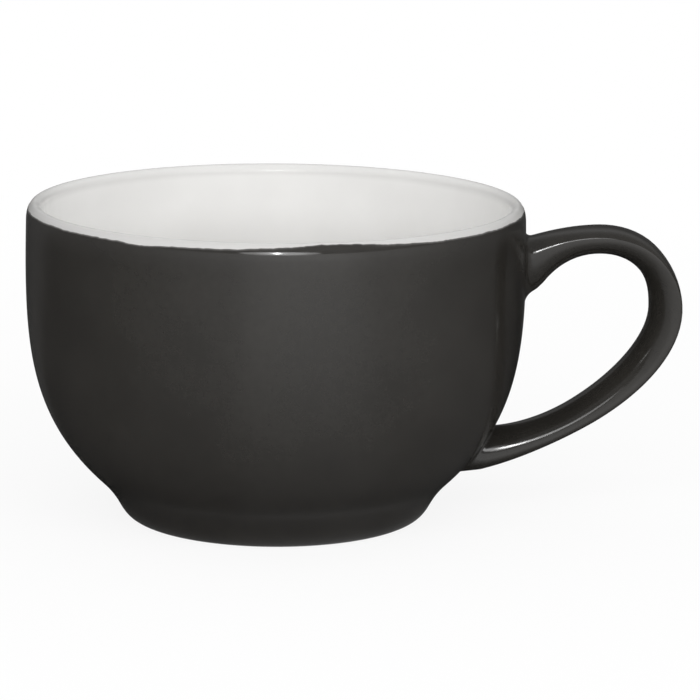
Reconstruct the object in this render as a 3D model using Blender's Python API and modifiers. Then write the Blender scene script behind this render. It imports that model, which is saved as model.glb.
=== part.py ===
"""Two-tone stoneware coffee cup.

A turned bowl on a low foot ring carries a loop handle that is stuck on with slip at two roots. Three
coats of glaze finish it: a pale one inside and over the lip, a charcoal one over the outside and the
handle, and one in the recess under the foot. The foot ring itself stays bare.

Sizes are in metres and +Z is up. The cup stands on z = 0, its handle points along +X, and the origin
is under the middle of its whole length, handle included.
"""
import math

import bmesh
import bpy
from mathutils import Matrix, Vector
from mathutils.geometry import interpolate_bezier

# Bowl, measured on the glazed faces
CUP_HEIGHT = 0.0650
RIM_RADIUS = 0.0508
WALL_AT_RIM = 0.0033
WALL_AT_NECK = 0.0060
RIM_LEAN = math.radians(1.6)
RIM_PULL = 0.0263
WALL_LEAN = math.radians(46.8)
WALL_PULL = 0.0204
FLOOR_HEIGHT = 0.0082
FLOOR_ROUND = 0.0063

# Foot, with its rounded heel and the narrow neck above it
FOOT_RADIUS = 0.0307
HEEL_ROUND_IN = 0.0019
HEEL_ROUND_UP = 0.0031
NECK_FLARE = 0.0032
NECK_HEIGHT = 0.0059
NECK_ROUND = 0.0033
FOOT_RING_WIDTH = 0.0037
RECESS_DEPTH = 0.0022
RECESS_ROUND = 0.0014

# Coats of glaze, and the gap between neighbours
GLAZE = 0.0003
FIT = 0.0003
DRY_FOOT = 0.00045
SLIP = 0.0006

# Handle: heights are taken from the rim, except at the lower root
HANDLE_PROJECTION = 0.0321
HANDLE_CREST_OUT = 0.0153
HANDLE_CREST_DROP = 0.0049
HANDLE_SIDE_DROP = 0.0215
UPPER_ROOT_DROP = 0.0128
LOWER_ROOT_HEIGHT = 0.0138
UPPER_ROOT_RISE = math.radians(34.0)
LOWER_ROOT_RISE = math.radians(6.0)
UPPER_ROOT_PULL = 0.0038
LOWER_ROOT_PULL = 0.0176
CREST_PULL_IN = 0.0070
CREST_PULL_OUT = 0.0081
SIDE_PULL_UP = 0.0084
SIDE_PULL_DOWN = 0.0126
ROOT_EMBED = 0.0100

# Handle section, an egg on its side. Its widest line is shifted from the middle by a share of half the
# thickness: towards the fingers at the upper root, away from them along the side and below.
HANDLE_WIDTH = 0.0110
UPPER_RIDGE = -0.4
CREST_RIDGE = -0.1
SIDE_RIDGE = 0.85
LOWER_RIDGE = 0.55
CREST_THICKNESS = 0.0055
BEND_THICKNESS = 0.00575
SIDE_THICKNESS = 0.0067
LOWER_THICKNESS = 0.0054
UPPER_FLARE = 0.0054
UPPER_FLARE_REACH = 0.0155
LOWER_FLARE = 0.0036
LOWER_FLARE_REACH = 0.0220

# Facets
TURN_STEPS = 44
WALL_POINTS = 9
ROUND_POINTS = 4
LIP_POINTS = 7
HANDLE_SIDES = 16
UPPER_STATIONS = 8
BEND_STATIONS = 9
LOWER_STATIONS = 13
MERGE = 0.00001

# Colours and roughness of the clay and the glazes
BUFF_CLAY = (0.47, 0.40, 0.31)
SLIP_CLAY = (0.40, 0.34, 0.27)
PALE_GLAZE = (0.78, 0.77, 0.74)
CHARCOAL_GLAZE = (0.050, 0.049, 0.047)
CLAY_ROUGHNESS = 0.85
GLAZE_ROUGHNESS = 0.25


def bezier(start, start_handle, end_handle, end, count):
    """Points along one cubic curve in the (radius, height) plane."""
    return list(interpolate_bezier(start, start_handle, end_handle, end, count))


def rounded(before, corner, after, count):
    """Points of the parabola that rounds off a corner between two points on its sides."""
    pull = 2 / 3
    return bezier(before, before.lerp(corner, pull), after.lerp(corner, pull), after, count)


def heading(angle):
    """Direction that leans out from the vertical by an angle."""
    return Vector((math.sin(angle), math.cos(angle)))


def left_of(direction):
    """Direction a quarter turn to the left."""
    return Vector((-direction.y, direction.x))


def offset(line, distances):
    """Line moved to its right by a distance at each point, square to its run there."""
    moved = []
    for index, point in enumerate(line):
        ahead = line[min(index + 1, len(line) - 1)]
        behind = line[max(index - 1, 0)]
        leave = (ahead - point).normalized()
        arrive = (point - behind).normalized()
        normal = left_of((leave + arrive).normalized())
        moved.append(point - normal * distances[index])
    return moved


def inset(line, distance):
    """Line moved to its right by the same distance all along."""
    return offset(line, [distance] * len(line))


def at_height(line, height):
    """Point where a line that runs downwards passes a height."""
    for above, below in zip(line, line[1:]):
        if above.y >= height >= below.y:
            return above.lerp(below, (above.y - height) / (above.y - below.y))
    raise ValueError("the line does not reach that height")


def wall_line():
    """Glazed outside of the wall, from the lip down to the neck."""
    neck = Vector((FOOT_RADIUS + NECK_FLARE, NECK_HEIGHT))
    spring = Vector((RIM_RADIUS, CUP_HEIGHT - WALL_AT_RIM / 2))
    start = neck + NECK_ROUND * heading(WALL_LEAN)
    spring_handle = spring + RIM_PULL * heading(math.pi - RIM_LEAN)
    start_handle = start + WALL_PULL * heading(WALL_LEAN)
    return bezier(spring, spring_handle, start_handle, start, WALL_POINTS)


def outside_line():
    """Glazed outside of the bowl, from the lip down to the table."""
    wall = wall_line()
    foot = Vector((FOOT_RADIUS, 0.0))
    neck = foot + Vector((NECK_FLARE, NECK_HEIGHT))
    side = (neck - foot).normalized()
    neck_curve = rounded(wall[-1], neck, neck - NECK_ROUND * side, ROUND_POINTS)
    heel_end = foot - Vector((HEEL_ROUND_IN, 0.0))
    heel_curve = rounded(foot + HEEL_ROUND_UP * side, foot, heel_end, ROUND_POINTS)
    return wall + neck_curve[1:] + heel_curve


def inside_line():
    """Glazed inside of the bowl, from the middle of its floor up to the lip."""
    wall = wall_line()
    growth = WALL_AT_NECK - WALL_AT_RIM
    thickness = [WALL_AT_RIM + growth * index / (WALL_POINTS - 1) for index in range(WALL_POINTS)]
    inner = offset(wall, thickness)
    inner[0] = wall[0] - Vector((WALL_AT_RIM, 0.0))
    slope = (inner[-1] - inner[-2]).normalized()
    corner = inner[-1] + slope * (inner[-1].y - FLOOR_HEIGHT) / -slope.y
    flat_end = corner - Vector((FLOOR_ROUND, 0.0))
    floor_curve = rounded(inner[-1], corner, flat_end, ROUND_POINTS)
    downwards = inner + floor_curve[1:] + [Vector((0.0, FLOOR_HEIGHT))]
    return downwards[::-1]


def lip_line():
    """Half circle over the lip, from the inside to the outside, without its two ends."""
    radius = WALL_AT_RIM / 2
    middle = Vector((RIM_RADIUS - radius, CUP_HEIGHT - radius))
    turns = [math.pi * (index / (LIP_POINTS - 1) - 0.5) for index in range(1, LIP_POINTS - 1)]
    return [middle + radius * heading(turn) for turn in turns]


def recess_line():
    """Glazed recess under the foot, from its middle out and down to the table."""
    reach = FOOT_RADIUS - HEEL_ROUND_IN - FOOT_RING_WIDTH
    corner = Vector((reach, RECESS_DEPTH))
    before = corner - Vector((RECESS_ROUND, 0.0))
    after = corner - Vector((0.0, RECESS_ROUND))
    curve = rounded(before, corner, after, ROUND_POINTS)
    return [Vector((0.0, RECESS_DEPTH))] + curve + [Vector((reach, 0.0))]


def above_table(line, height):
    """Part of a line that stays above a height, ended exactly at it."""
    return [point for point in line if point.y > height] + [at_height(line, height)]


def body_profile():
    """Bare clay of the bowl: inside, lip, outside, foot ring and recess."""
    depth = GLAZE + FIT
    outside = outside_line()
    skin = inside_line() + lip_line() + above_table(outside, DRY_FOOT)
    recess = above_table(recess_line(), DRY_FOOT)
    under = inset(recess, -depth)
    ring_edge = Vector((under[-1].x, 0.0))
    return inset(skin, depth) + [outside[-1], ring_edge] + under[::-1]


def liner_profile():
    """Pale coat over the floor, the inside and the lip."""
    inside = inside_line()
    lip = lip_line()
    skin = inside + lip + outside_line()
    count = len(inside) + len(lip) + 1
    return skin[:count] + inset(skin, GLAZE)[:count][::-1]


def outer_coat_line():
    """Exposed face of the charcoal coat on the bowl, from below the lip to above the table."""
    outside = above_table(outside_line(), DRY_FOOT)
    first_run = outside[1] - outside[0]
    start = outside[0] + first_run.normalized() * FIT
    return [start] + outside[1:]


def base_profile():
    """Coat in the recess under the foot."""
    recess = above_table(recess_line(), DRY_FOOT)
    return inset(recess, -GLAZE) + recess[::-1]


def plug_profile(depth):
    """Solid bowl whose side lies a depth inside the glazed outside; a negative depth is proud of it."""
    side = inset(outer_coat_line(), depth)
    return [Vector((0.0, side[0].y))] + side + [Vector((0.0, side[-1].y))]


def shell_profile(outer_depth, inner_depth):
    """Layer round the bowl between two depths below its glazed outside."""
    line = outer_coat_line()
    return inset(line, outer_depth) + inset(line, inner_depth)[::-1]


def handle_route():
    """Middle line of the handle in three curves: up to its crest, round its bend, down to its root."""
    outside = outside_line()
    reach = max(point.x for point in outside)
    upper = at_height(outside, CUP_HEIGHT - UPPER_ROOT_DROP)
    lower = at_height(outside, LOWER_ROOT_HEIGHT)
    crest_height = CUP_HEIGHT - HANDLE_CREST_DROP - CREST_THICKNESS / 2
    crest = Vector((reach + HANDLE_CREST_OUT, crest_height))
    side_reach = reach + HANDLE_PROJECTION - SIDE_THICKNESS / 2
    side = Vector((side_reach, CUP_HEIGHT - HANDLE_SIDE_DROP))
    out = Vector((1.0, 0.0))
    up = Vector((0.0, 1.0))
    upper_way = heading(math.pi / 2 - UPPER_ROOT_RISE)
    lower_way = heading(math.pi / 2 - LOWER_ROOT_RISE)
    rise = bezier(upper, upper + UPPER_ROOT_PULL * upper_way, crest - CREST_PULL_IN * out, crest,
                  UPPER_STATIONS)
    bend = bezier(crest, crest + CREST_PULL_OUT * out, side + SIDE_PULL_UP * up, side, BEND_STATIONS)
    fall = bezier(side, side - SIDE_PULL_DOWN * up, lower + LOWER_ROOT_PULL * lower_way, lower,
                  LOWER_STATIONS)
    return rise, bend, fall


def run_lengths(line):
    """Distance along a line to each of its points."""
    lengths = [0.0]
    for start, end in zip(line, line[1:]):
        lengths.append(lengths[-1] + (end - start).length)
    return lengths


def eased(position, knots):
    """Value at a position along the handle, eased between (position, value) knots."""
    for (start, first), (end, last) in zip(knots, knots[1:]):
        if position <= end:
            share = max(0.0, (position - start) / (end - start))
            return first + (last - first) * share * share * (3 - 2 * share)
    return knots[-1][1]


def flare(distance, amount, reach):
    """Growth of the section towards a root, at a distance from it along the handle."""
    return amount * max(0.0, 1 - max(0.0, distance) / reach) ** 2


def handle_sections():
    """Middle, outward direction, thickness and ridge of each section, both ends sunk into the wall."""
    rise, bend, fall = handle_route()
    line = rise + bend[1:] + fall[1:]
    start_way = (line[0] - line[1]).normalized()
    end_way = (line[-1] - line[-2]).normalized()
    line = [line[0] + start_way * ROOT_EMBED] + line + [line[-1] + end_way * ROOT_EMBED]
    lengths = [length - ROOT_EMBED for length in run_lengths(line)]
    crest = lengths[len(rise)]
    middle_bend = lengths[len(rise) + len(bend) // 2]
    side = lengths[len(rise) + len(bend) - 1]
    lower = lengths[-2]
    thicknesses = ((0.0, CREST_THICKNESS), (crest, CREST_THICKNESS), (middle_bend, BEND_THICKNESS),
                   (side, SIDE_THICKNESS), (lower, LOWER_THICKNESS))
    ridges = ((0.0, UPPER_RIDGE), (crest, CREST_RIDGE), (side, SIDE_RIDGE), (lower, LOWER_RIDGE))
    sections = []
    for index, point in enumerate(line):
        position = lengths[index]
        behind = line[max(index - 1, 0)]
        ahead = line[min(index + 1, len(line) - 1)]
        outward = left_of((ahead - behind).normalized())
        thickness = eased(position, thicknesses)
        thickness += flare(position, UPPER_FLARE, UPPER_FLARE_REACH)
        thickness += flare(lower - position, LOWER_FLARE, LOWER_FLARE_REACH)
        sections.append((point, outward, thickness, eased(position, ridges)))
    return sections


def finish(piece, colour, roughness):
    """Give a piece its own plain opaque material."""
    material = bpy.data.materials.new(piece.name + "_finish")
    material.use_nodes = True
    shader = material.node_tree.nodes["Principled BSDF"]
    shader.inputs["Base Color"].default_value = (*colour, 1.0)
    shader.inputs["Roughness"].default_value = roughness
    shader.inputs["Metallic"].default_value = 0.0
    material.diffuse_color = (*colour, 1.0)
    piece.data.materials.append(material)


def place(name, mesh, collection, axis):
    """Object in a collection, carried by the cup's axis."""
    piece = bpy.data.objects.new(name, mesh)
    collection.objects.link(piece)
    piece.parent = axis
    return piece


def turned(name, profile, collection, axis, closed=False):
    """Profile spun round the axis; it runs down its outer side, so its faces point out."""
    last = len(profile) - 1
    edges = [(index, index + 1) for index in range(last)]
    if closed:
        edges.append((last, 0))
    mesh = bpy.data.meshes.new(name)
    mesh.from_pydata([(point.x, 0.0, point.y) for point in profile], edges, [])
    piece = place(name, mesh, collection, axis)
    screw = piece.modifiers.new("Turning", "SCREW")
    screw.axis = "Z"
    screw.angle = math.tau
    screw.steps = TURN_STEPS
    screw.render_steps = TURN_STEPS
    screw.use_merge_vertices = True
    screw.merge_threshold = MERGE
    screw.use_smooth_shade = True
    return piece


def egg_section(mesh_data, ridge, frame):
    """Ring with its widest points shifted from its middle, placed by a frame that also sizes it."""
    ring = bmesh.ops.create_circle(mesh_data, segments=HANDLE_SIDES, radius=1.0)["verts"]
    for vert in ring:
        side = 1 - ridge if vert.co.x > 0 else 1 + ridge
        vert.co.x = ridge + side * vert.co.x
    bmesh.ops.transform(mesh_data, matrix=frame, verts=ring)
    return ring


def lofted(name, sections, growth, collection, axis):
    """Solid through the handle's sections, each grown all round by the same amount."""
    mesh_data = bmesh.new()
    rings = []
    for middle, outward, thickness, ridge in sections:
        across = Vector((outward.x, 0.0, outward.y)) * (thickness / 2 + growth)
        sideways = Vector((0.0, 1.0, 0.0)) * (HANDLE_WIDTH / 2 + growth)
        along = across.cross(sideways).normalized()
        frame = Matrix((across, sideways, along)).transposed().to_4x4()
        frame.translation = (middle.x, 0.0, middle.y)
        rings.append(egg_section(mesh_data, ridge, frame))
    loops = [list({edge for vert in ring for edge in vert.link_edges}) for ring in rings]
    for near, far in zip(loops, loops[1:]):
        bmesh.ops.bridge_loops(mesh_data, edges=near + far)
    for end in (rings[0], rings[-1]):
        mesh_data.faces.new(end)
    bmesh.ops.recalc_face_normals(mesh_data, faces=mesh_data.faces[:])
    bmesh.ops.triangulate(mesh_data, faces=mesh_data.faces[:])
    mesh = bpy.data.meshes.new(name)
    mesh_data.to_mesh(mesh)
    mesh_data.free()
    mesh.shade_smooth()
    return place(name, mesh, collection, axis)


def combine(piece, operation, tool):
    """Boolean of a piece with another solid."""
    modifier = piece.modifiers.new(operation.title(), "BOOLEAN")
    modifier.operation = operation
    modifier.solver = "EXACT"
    modifier.object = tool


def new_collection(name, parent):
    """Collection under another one."""
    collection = bpy.data.collections.new(name)
    parent.children.link(collection)
    return collection


def build_bowl(parts, axis):
    """Clay body, with the liner and the coat under the foot."""
    body = turned("cup_body", body_profile(), parts, axis)
    liner = turned("liner_glaze", liner_profile(), parts, axis)
    base = turned("base_glaze", base_profile(), parts, axis)
    return body, liner, base


def build_handle(sections, parts, cutters, axis):
    """Clay handle, ended clear of the wall by the slip and its two gaps."""
    depth = GLAZE + FIT
    handle = lofted("handle", sections, -depth, parts, axis)
    bowl = turned("handle_end_cutter", plug_profile(-SLIP), cutters, axis)
    combine(handle, "DIFFERENCE", bowl)
    return handle


def build_slip(name, sections, parts, layer, axis):
    """Pad of slip that follows the wall, between the clay of the bowl and one end of the handle."""
    depth = GLAZE + FIT
    pad = lofted(name, sections, -depth, parts, axis)
    combine(pad, "INTERSECT", layer)
    return pad


def build_outer_glaze(sections, parts, cutters, axis):
    """One charcoal coat over the bowl and round the handle, open where the slip passes through."""
    coat = turned("outer_glaze", shell_profile(0.0, GLAZE), parts, axis, closed=True)
    sleeve = lofted("handle_coat_blank", sections, 0.0, cutters, axis)
    sleeve_end = turned("handle_coat_end_cutter", plug_profile(GLAZE / 2), cutters, axis)
    combine(sleeve, "DIFFERENCE", sleeve_end)
    combine(coat, "UNION", sleeve)
    hollow = lofted("handle_coat_hollow", sections, -GLAZE, cutters, axis)
    combine(coat, "DIFFERENCE", hollow)
    return coat


def main():
    """Build the cup in its own collection and centre it under its whole length."""
    for leftover in list(bpy.data.objects):
        bpy.data.objects.remove(leftover)
    scene = bpy.context.scene.collection
    parts = new_collection("coffee_cup", scene)
    cutters = new_collection("coffee_cup_cutters", scene)
    axis = bpy.data.objects.new("cup_axis", None)
    parts.objects.link(axis)
    sections = handle_sections()
    half = len(sections) // 2
    body, liner, base = build_bowl(parts, axis)
    handle = build_handle(sections, parts, cutters, axis)
    layer = turned("slip_layer", shell_profile(FIT - SLIP, FIT), cutters, axis, closed=True)
    upper = build_slip("upper_luting_slip", sections[:half], parts, layer, axis)
    lower = build_slip("lower_luting_slip", sections[half:], parts, layer, axis)
    coat = build_outer_glaze(sections, parts, cutters, axis)
    for piece in (body, handle):
        finish(piece, BUFF_CLAY, CLAY_ROUGHNESS)
    for piece in (upper, lower):
        finish(piece, SLIP_CLAY, CLAY_ROUGHNESS)
    for piece in (coat, base):
        finish(piece, CHARCOAL_GLAZE, GLAZE_ROUGHNESS)
    finish(liner, PALE_GLAZE, GLAZE_ROUGHNESS)
    for cutter in cutters.objects:
        cutter.hide_render = True
        cutter.display_type = "WIRE"
    axis.location.x = -HANDLE_PROJECTION / 2


main()
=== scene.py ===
"""Looks of the two-tone stoneware coffee cup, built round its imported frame.

The clay bowl, the clay handle and their coats of glaze are modelled finely in place of the frame's
solids, and the two pads of slip keep theirs. A pale liner wraps the lip, and a charcoal coat climbs
the lip's outer side to a line that wanders. Sizes are in metres, +Z is up, and the handle points
along +X.
"""

import math

import bpy
from mathutils import Matrix, Vector, noise
from mathutils.geometry import interpolate_bezier


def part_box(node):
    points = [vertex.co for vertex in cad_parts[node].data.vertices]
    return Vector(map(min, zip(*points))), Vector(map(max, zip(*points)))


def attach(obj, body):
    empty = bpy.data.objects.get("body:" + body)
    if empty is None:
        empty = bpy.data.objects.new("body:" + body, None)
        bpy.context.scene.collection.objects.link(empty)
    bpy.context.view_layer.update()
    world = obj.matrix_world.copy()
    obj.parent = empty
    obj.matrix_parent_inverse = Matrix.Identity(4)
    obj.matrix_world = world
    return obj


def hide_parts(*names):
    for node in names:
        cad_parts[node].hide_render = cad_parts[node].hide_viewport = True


bl_info = {
    "name": "Stoneware Coffee Cup",
    "version": (1, 0, 0),
    "blender": (4, 5, 0),
    "location": "View3D > Sidebar > Coffee Cup",
    "description": "Turns, glazes and photographs a two-tone stoneware coffee cup",
    "category": "Add Mesh",
}

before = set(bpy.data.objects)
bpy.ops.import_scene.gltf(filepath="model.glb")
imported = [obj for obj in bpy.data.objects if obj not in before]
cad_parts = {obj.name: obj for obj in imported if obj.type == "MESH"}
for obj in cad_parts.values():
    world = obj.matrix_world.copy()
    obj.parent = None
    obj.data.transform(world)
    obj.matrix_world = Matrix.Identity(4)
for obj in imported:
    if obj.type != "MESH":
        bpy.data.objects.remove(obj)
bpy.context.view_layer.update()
LINER_LOW, LINER_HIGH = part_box("liner_glaze")
COAT_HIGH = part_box("outer_glaze")[1]

# Where the bowl's axis stands on the table
AXIS_X = (LINER_LOW.x + LINER_HIGH.x) / 2
AXIS_FOOT = (AXIS_X, 0.0, 0.0)
# Points closer than MERGE become one. Skins that meet overlap by SUNK, so that no gap shows.
MERGE = 0.000001
SUNK = 0.00002


def size_prop(name, description, default):
    """Property for a length."""
    return bpy.props.FloatProperty(name=name, description=description, default=default, unit="LENGTH")


def angle_prop(name, description, default):
    """Property for an angle."""
    return bpy.props.FloatProperty(name=name, description=description, default=default, unit="ROTATION")


def share_prop(name, description, default):
    """Property for a share."""
    return bpy.props.FloatProperty(name=name, description=description, default=default, subtype="FACTOR")


def colour_prop(name, description, default):
    """Property for a colour."""
    return bpy.props.FloatVectorProperty(name=name, description=description, default=default, size=3,
                                         subtype="COLOR")


class CupBowlSizes(bpy.types.PropertyGroup):
    """Sizes of the bowl, measured on its glazed faces."""

    height: size_prop("Height", "Table to the top of the lip", LINER_HIGH.z)
    rim_radius: size_prop(
        "Rim Radius", "Axis to the outside of the lip", (LINER_HIGH.y - LINER_LOW.y) / 2 - SUNK)
    rim_wall: size_prop("Wall at Rim", "Thickness of the lip", 0.0033)
    lip_depth: size_prop("Lip Depth", "How far down the outside the lip is rounded", 0.0036)
    neck_wall: size_prop("Wall at Neck", "Thickness of the wall above the foot", 0.0060)
    rim_lean: angle_prop("Rim Lean", "How far the wall still opens below the lip", math.radians(1.6))
    rim_pull: size_prop("Rim Pull", "How far down the wall keeps the rim's direction", 0.0263)
    wall_lean: angle_prop("Wall Lean", "Lean of the wall where it leaves the neck", math.radians(46.8))
    wall_pull: size_prop("Wall Pull", "How far up the wall keeps the neck's direction", 0.0204)
    floor_height: size_prop("Floor Height", "Table to the inside floor", 0.0082)
    floor_round: size_prop("Floor Round", "Reach of the curve between floor and wall", 0.0063)


class CupFootSizes(bpy.types.PropertyGroup):
    """Sizes of the foot, its heel, its neck and the recess under it."""

    radius: size_prop("Foot Radius", "Axis to the foot's outer corner", 0.0307)
    heel_in: size_prop("Heel Round In", "Reach of the heel's curve along the table", 0.0019)
    heel_up: size_prop("Heel Round Up", "Reach of the heel's curve up the side", 0.0031)
    neck_flare: size_prop("Neck Flare", "How much wider the neck is than the foot", 0.0032)
    neck_height: size_prop("Neck Height", "Table to the corner between foot and wall", 0.0059)
    neck_round: size_prop("Neck Round", "Reach of the curve at that corner", 0.0033)
    ring_width: size_prop("Ring Width", "Width of the bare ring that stands on the table", 0.0037)
    recess_depth: size_prop("Recess Depth", "Depth of the hollow under the foot", 0.0022)
    recess_round: size_prop("Recess Round", "Reach of the curve at the recess's edge", 0.0014)


class CupGlazeSizes(bpy.types.PropertyGroup):
    """Thickness of the coats, and the line where the charcoal one ends on the lip."""

    thickness: size_prop("Coat Thickness", "Thickness of a coat of glaze", 0.0003)
    clearance: size_prop("Clearance", "Gap between a coat and the clay", 0.0003)
    dry_foot: size_prop("Dry Foot", "Height of the wiped edge above the table", 0.00018)
    liner_drop: size_prop("Liner Drop", "Top of the lip to the liner's end on the outside", 0.0022)
    bead: size_prop("Bead", "How far the charcoal edge stands proud of the lip", 0.00006)
    bead_fade: size_prop("Bead Fade", "Distance below its edge over which the bead fades", 0.0030)
    line_drop: size_prop("Line Drop", "Top of the lip to the charcoal edge, as a rule", 0.00111)
    line_rise: size_prop("Line Rise", "How far the edge climbs at its highest stretch", 0.00088)
    line_dip: size_prop("Line Dip", "How far the edge drops at its lowest stretch", 0.00042)
    line_ragged: size_prop("Line Raggedness", "Small unevenness of the edge", 0.00020)
    edge_fade: size_prop(
        "Edge Fade", "Width of the thin, greyer margin along the charcoal edge", 0.00035)


class CupHandleSizes(bpy.types.PropertyGroup):
    """Route and section of the handle; drops are taken from the lip's height."""

    reach: size_prop("Reach", "Origin to the handle's outermost point", COAT_HIGH.x)
    crest_out: size_prop("Crest Out", "Bowl's widest point to the handle's crest", 0.0153)
    crest_drop: size_prop("Crest Drop", "Lip to the top of the crest", 0.0049)
    side_drop: size_prop("Side Drop", "Lip to the outermost point", 0.0215)
    upper_drop: size_prop("Upper Root Drop", "Lip to the middle of the upper root", 0.0128)
    lower_height: size_prop("Lower Root Height", "Table to the middle of the lower root", 0.0138)
    upper_rise: angle_prop(
        "Upper Root Rise", "Slope at which the handle leaves the upper root", math.radians(34.0))
    lower_rise: angle_prop(
        "Lower Root Rise", "Slope at which the handle leaves the lower root", math.radians(6.0))
    upper_pull: size_prop("Upper Root Pull", "Length of the route's lever at the upper root", 0.0038)
    lower_pull: size_prop("Lower Root Pull", "Length of the route's lever at the lower root", 0.0176)
    crest_pull_in: size_prop("Crest Pull In", "Length of the crest's lever towards the bowl", 0.0070)
    crest_pull_out: size_prop(
        "Crest Pull Out", "Length of the crest's lever away from the bowl", 0.0081)
    side_pull_up: size_prop("Side Pull Up", "Length of the upward lever at the outermost point", 0.0084)
    side_pull_down: size_prop(
        "Side Pull Down", "Length of the downward lever at the outermost point", 0.0126)
    root_width: size_prop("Root Width", "Width across the handle at its roots", 0.0104)
    bend_width: size_prop("Bend Width", "Width across the handle halfway round the bend", 0.0122)
    upper_ridge: share_prop(
        "Upper Ridge", "Share by which the upper root is widest outside its middle", 0.15)
    crest_ridge: share_prop("Crest Ridge", "The same share at the crest", 0.25)
    side_ridge: share_prop("Side Ridge", "The same share at the outermost point", 0.85)
    lower_ridge: share_prop("Lower Ridge", "The same share at the lower root", 0.55)
    upper_square: bpy.props.FloatProperty(
        name="Upper Squareness", default=3.0,
        description="Power of the section's outer half up to the crest, 2 is an ellipse")
    side_square: bpy.props.FloatProperty(
        name="Side Squareness", description="The same power from the outermost point on", default=2.0)
    crest_thickness: size_prop("Crest Thickness", "Thickness at the crest", 0.0055)
    bend_thickness: size_prop("Bend Thickness", "Thickness halfway round the bend", 0.00575)
    side_thickness: size_prop("Side Thickness", "Thickness at the outermost point", 0.0067)
    lower_thickness: size_prop("Lower Thickness", "Thickness near the lower root", 0.0054)
    upper_flare: size_prop("Upper Flare", "Growth in thickness at the upper root", 0.0054)
    upper_flare_reach: size_prop("Upper Flare Reach", "Distance over which that growth fades", 0.0155)
    lower_flare: size_prop("Lower Flare", "Growth in thickness at the lower root", 0.0036)
    lower_flare_reach: size_prop("Lower Flare Reach", "Distance over which that growth fades", 0.0220)
    upper_fillet: size_prop("Upper Fillet", "Reach of the glaze's curve round the upper root", 0.0016)
    lower_fillet: size_prop("Lower Fillet", "Reach of the glaze's curve round the lower root", 0.0009)


class CupColours(bpy.types.PropertyGroup):
    """Colours of the glazes, the clay and the stage."""

    charcoal: colour_prop("Charcoal", "Charcoal glaze where it lies thick", (0.0162, 0.0149, 0.0130))
    charcoal_thin: colour_prop(
        "Thin Charcoal", "Charcoal glaze where it lies thin", (0.0226, 0.0209, 0.0184))
    charcoal_rim: colour_prop(
        "Charcoal Rim", "Charcoal glaze where it runs thin below the lip", (0.040, 0.0385, 0.0370))
    charcoal_edge: colour_prop(
        "Charcoal Edge", "Charcoal glaze along its upper edge", (0.20, 0.195, 0.19))
    pale: colour_prop("Pale Glaze", "Liner glaze", (0.825, 0.820, 0.807))
    # Darker liner colour, used for random clouds and for painted shade that darkens the inside wall
    # lower down
    pale_clouds_and_shade: colour_prop("Pale Glaze Shade", "Liner glaze where it pools", (0.620, 0.614, 0.602))
    # Greyer liner colour on the lip: glaze running thin there, and painted shade that holds the lip's
    # brightness down
    pale_lip_thin_and_shade: colour_prop(
        "Pale Glaze Lip", "Liner glaze where it runs thin over the lip", (0.510, 0.504, 0.495))
    clay: colour_prop("Clay", "Bare fired clay", (0.47, 0.40, 0.31))
    clay_fleck: colour_prop("Clay Fleck", "Dark grains in the clay", (0.20, 0.155, 0.11))
    floor: colour_prop("Floor", "Pale floor", (0.85, 0.85, 0.85))


class CupCameraSizes(bpy.types.PropertyGroup):
    """Place, turn and lens of the camera that takes the cup as the photograph does."""

    place: bpy.props.FloatVectorProperty(
        name="Place", description="Where the camera stands", subtype="TRANSLATION", size=3,
        unit="LENGTH", default=(AXIS_X, -0.7286, 0.1868))
    yaw: angle_prop("Yaw", "Turn towards the handle", 0.02092)
    pitch: angle_prop("Pitch", "Tilt down to the cup", 0.20658)
    roll: angle_prop("Roll", "Turn round the line of sight", 0.00901)
    lens: bpy.props.FloatProperty(
        name="Lens", description="Focal length in millimetres on a 36 mm sensor", default=186.49)


# Outlines, in the (radius, height) plane

WALL_POINTS = 36
ROUND_POINTS = 9
LIP_POINTS = 21
FLAT_POINTS = 6
# Lever of a curve that stands for a quarter circle, as a share of its radius
ROUND_PULL = 0.5523
# The charcoal edge's rounded nose, in heights of its bead, and the room kept free behind it, in noses
BEAD_POINTS = 5
BEAD_ROUND = 1.4
NOSE_ROOM = 1.5
# The foot ring's inner edge is rounded by this share of its heel
RING_ROUND = 0.25
# Facets round each piece
COAT_TURNS = 540
LINER_TURNS = 240
CLAY_TURNS = 240


def curve(start, start_lever, end_lever, end, count):
    """Points along one cubic curve."""
    return list(interpolate_bezier(start, start_lever, end_lever, end, count))


def rounded(before, corner, after):
    """Points of the parabola that rounds off a corner between two points on its sides."""
    pull = 2 / 3
    return curve(before, before.lerp(corner, pull), after.lerp(corner, pull), after, ROUND_POINTS)


def heading(angle):
    """Direction that leans out from the vertical by an angle."""
    return Vector((math.sin(angle), math.cos(angle)))


def left_of(direction):
    """Direction a quarter turn to the left."""
    return Vector((-direction.y, direction.x))


def eased(share):
    """Share between 0 and 1, with soft ends."""
    share = min(max(share, 0.0), 1.0)
    return share * share * (3 - 2 * share)


def offset(line, distances):
    """Line moved to its right by a distance at each point, square to its run there."""
    moved = []
    for index, point in enumerate(line):
        ahead = line[min(index + 1, len(line) - 1)]
        behind = line[max(index - 1, 0)]
        normal = left_of((ahead - behind).normalized())
        moved.append(point - normal * distances[index])
    return moved


def at_height(line, height):
    """Point where a line that runs downwards passes a height."""
    for above, below in zip(line, line[1:]):
        if above.y >= height >= below.y:
            return above.lerp(below, (above.y - height) / (above.y - below.y))
    raise ValueError("the line does not reach that height")


def above_height(line, height):
    """Part of a line that runs downwards and stays above a height, ended exactly at it."""
    return [point for point in line if point.y > height] + [at_height(line, height)]


def below_height(line, height):
    """Part of a line that runs downwards and stays below a height, begun exactly at it."""
    return [at_height(line, height)] + [point for point in line if point.y < height]


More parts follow.
